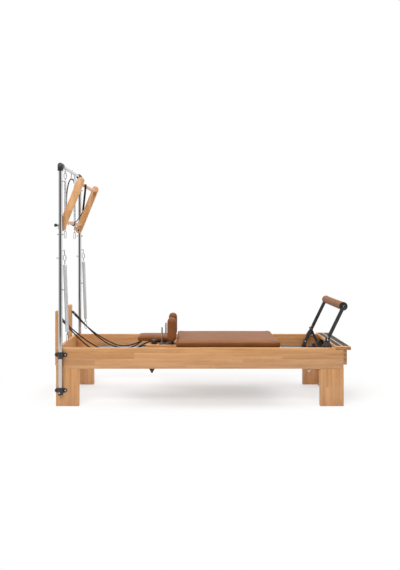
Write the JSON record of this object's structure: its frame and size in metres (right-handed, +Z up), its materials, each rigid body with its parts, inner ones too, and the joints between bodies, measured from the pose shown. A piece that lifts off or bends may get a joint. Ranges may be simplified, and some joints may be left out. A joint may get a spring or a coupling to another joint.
{
  "type": "pilates reformer with tower",
  "caption": "Wooden pilates reformer with a sliding padded carriage, shoulder rests, tilting footbar, ropes on riser pulleys, and a chrome half trapeze tower with push through bar.",
  "frame": {"origin": "bottom centre of the bounding box, on the floor, midway along the length and across the width", "axes": "+X along the bed from the tower end to the footbar end, +Y across the bed away from the pictured side, +Z up"},
  "size_m": [2.432, 0.7822, 1.978],
  "materials": {
    "wood": "clear satin lacquer on honey coloured laminated beech",
    "leather": "smooth brown upholstery leather",
    "chrome": "bright chrome plated steel",
    "black_steel": "matt black powder coat",
    "track_metal": "drawn aluminium",
    "black_plastic": "matt black moulded plastic",
    "black_cord": "black braided cord"
  },
  "bodies": {
    "root": {"side_rail_near": "wood", "track_near": "track_metal", "leg_head_near": "wood", "leg_foot_near": "wood", "riser_post_near": "wood", "upright_near": "chrome", "corner_fitting_near": "black_plastic", "upper_clamp_near": "black_steel", "lower_cup_near": "black_steel", "footbar_bracket_near": "black_steel", "rope_near": "black_cord", "side_rail_far": "wood", "track_far": "track_metal", "leg_head_far": "wood", "leg_foot_far": "wood", "riser_post_far": "wood", "upright_far": "chrome", "corner_fitting_far": "black_plastic", "upper_clamp_far": "black_steel", "lower_cup_far": "black_steel", "footbar_bracket_far": "black_steel", "rope_far": "black_cord", "head_cross_board": "wood", "foot_cross_board": "wood", "foot_platform": "wood", "spring_bar": "black_steel", "tower_crossbar": "chrome", "safety_strap": "black_cord", "carriage_spring_near": "chrome", "carriage_spring_middle": "chrome", "carriage_spring_far": "chrome"},
    "carriage": {"carriage_board": "wood", "carriage_pad": "leather", "shoulder_bracket_near": "black_steel", "shoulder_bracket_far": "black_steel", "rope_knob_near": "black_plastic", "rope_knob_far": "black_plastic"},
    "headrest": {"headrest": "leather"},
    "wheelset_head": {"wheelset_head": "black_plastic"},
    "wheelset_foot": {"wheelset_foot": "black_plastic"},
    "footbar": {"footbar_arm_near": "black_steel", "footbar_arm_far": "black_steel", "footbar_roll": "leather"},
    "push_bar": {"push_board_near": "wood", "push_board_far": "wood", "push_dowel_top": "wood", "push_dowel_low": "wood", "bar_strap": "black_cord"},
    "shoulder_rest_near": {"shoulder_rest_near": "leather"},
    "rope_sheave_near": {"rope_sheave_near": "black_plastic"},
    "footbar_strut_near": {"footbar_strut_near": "black_steel"},
    "pull_knob_near": {"pull_knob_near": "black_plastic"},
    "side_spring_near": {"side_spring_near": "chrome"},
    "top_spring_near": {"top_spring_near": "chrome"},
    "shoulder_rest_far": {"shoulder_rest_far": "leather"},
    "rope_sheave_far": {"rope_sheave_far": "black_plastic"},
    "footbar_strut_far": {"footbar_strut_far": "black_steel"},
    "pull_knob_far": {"pull_knob_far": "black_plastic"},
    "side_spring_far": {"side_spring_far": "chrome"},
    "top_spring_far": {"top_spring_far": "chrome"}
  },
  "joints": [
    {"name": "carriage_slide", "type": "slide", "parent": "root", "child": "carriage", "axis": [-1, 0, 0], "range_m": [0, 0.6], "stiffness_N_per_m": 300, "springref_m": -0.05, "deforming": ["rope_near", "rope_far", "carriage_spring_near", "carriage_spring_middle", "carriage_spring_far"]},
    {"name": "wheels_head_spin", "type": "hinge", "parent": "carriage", "child": "wheelset_head", "pos_m": [-0.174, 0, 0.3943], "axis": [0, 1, 0], "continuous": true},
    {"name": "wheels_foot_spin", "type": "hinge", "parent": "carriage", "child": "wheelset_foot", "pos_m": [0.536, 0, 0.3943], "axis": [0, 1, 0], "continuous": true},
    {"name": "headrest_tilt", "type": "hinge", "parent": "carriage", "child": "headrest", "pos_m": [-0.275, 0, 0.476], "axis": [0, 1, 0], "range_deg": [0, 40]},
    {"name": "footbar_tilt", "type": "hinge", "parent": "root", "child": "footbar", "pos_m": [0.983, 0, 0.411], "axis": [0, 1, 0], "range_deg": [-20, 0]},
    {"name": "push_bar_swing", "type": "hinge", "parent": "root", "child": "push_bar", "pos_m": [-1.142, 0, 1.45], "axis": [0, 1, 0], "range_deg": [0, 135]},
    {"name": "shoulder_rest_lift_near", "type": "slide", "parent": "carriage", "child": "shoulder_rest_near", "axis": [0, 0, 1], "range_m": [0, 0.045]},
    {"name": "sheave_spin_near", "type": "hinge", "parent": "root", "child": "rope_sheave_near", "pos_m": [-1.142, -0.219, 0.662], "axis": [0.7334, 0, 0.6798], "continuous": true},
    {"name": "footbar_strut_swing_near", "type": "hinge", "parent": "footbar", "child": "footbar_strut_near", "pos_m": [1.037, -0.295, 0.532], "axis": [0, 1, 0], "range_deg": [-1, 33]},
    {"name": "pull_knob_slide_near", "type": "slide", "parent": "root", "child": "pull_knob_near", "axis": [-1, 0, 0], "range_m": [0, 0.008], "stiffness_N_per_m": 800, "springref_m": -0.004},
    {"name": "side_spring_swing_near", "type": "hinge", "parent": "root", "child": "side_spring_near", "pos_m": [-1.1095, -0.3681, 1.265], "axis": [0, 1, 0], "range_deg": [-25, 0]},
    {"name": "top_spring_swing_near", "type": "hinge", "parent": "root", "child": "top_spring_near", "pos_m": [-1.148, -0.18, 1.929], "axis": [0, 1, 0], "range_deg": [0, 25]},
    {"name": "shoulder_rest_lift_far", "type": "slide", "parent": "carriage", "child": "shoulder_rest_far", "axis": [0, 0, 1], "range_m": [0, 0.045]},
    {"name": "sheave_spin_far", "type": "hinge", "parent": "root", "child": "rope_sheave_far", "pos_m": [-1.142, 0.219, 0.662], "axis": [0.7334, 0, 0.6798], "continuous": true},
    {"name": "footbar_strut_swing_far", "type": "hinge", "parent": "footbar", "child": "footbar_strut_far", "pos_m": [1.037, 0.295, 0.532], "axis": [0, 1, 0], "range_deg": [-1, 33]},
    {"name": "pull_knob_slide_far", "type": "slide", "parent": "root", "child": "pull_knob_far", "axis": [-1, 0, 0], "range_m": [0, 0.008], "stiffness_N_per_m": 800, "springref_m": -0.004},
    {"name": "side_spring_swing_far", "type": "hinge", "parent": "root", "child": "side_spring_far", "pos_m": [-1.1095, 0.3681, 1.265], "axis": [0, 1, 0], "range_deg": [-25, 0]},
    {"name": "top_spring_swing_far", "type": "hinge", "parent": "root", "child": "top_spring_far", "pos_m": [-1.148, 0.18, 1.929], "axis": [0, 1, 0], "range_deg": [0, 25]}
  ],
  "couplings": [
    {"joint": "wheels_head_spin", "follows": "carriage_slide", "rad_per_m": -45.455},
    {"joint": "wheels_foot_spin", "follows": "carriage_slide", "rad_per_m": -45.455},
    {"joint": "footbar_strut_swing_near", "follows": "footbar_tilt", "ratio": -1.56},
    {"joint": "footbar_strut_swing_far", "follows": "footbar_tilt", "ratio": -1.56}
  ]
}
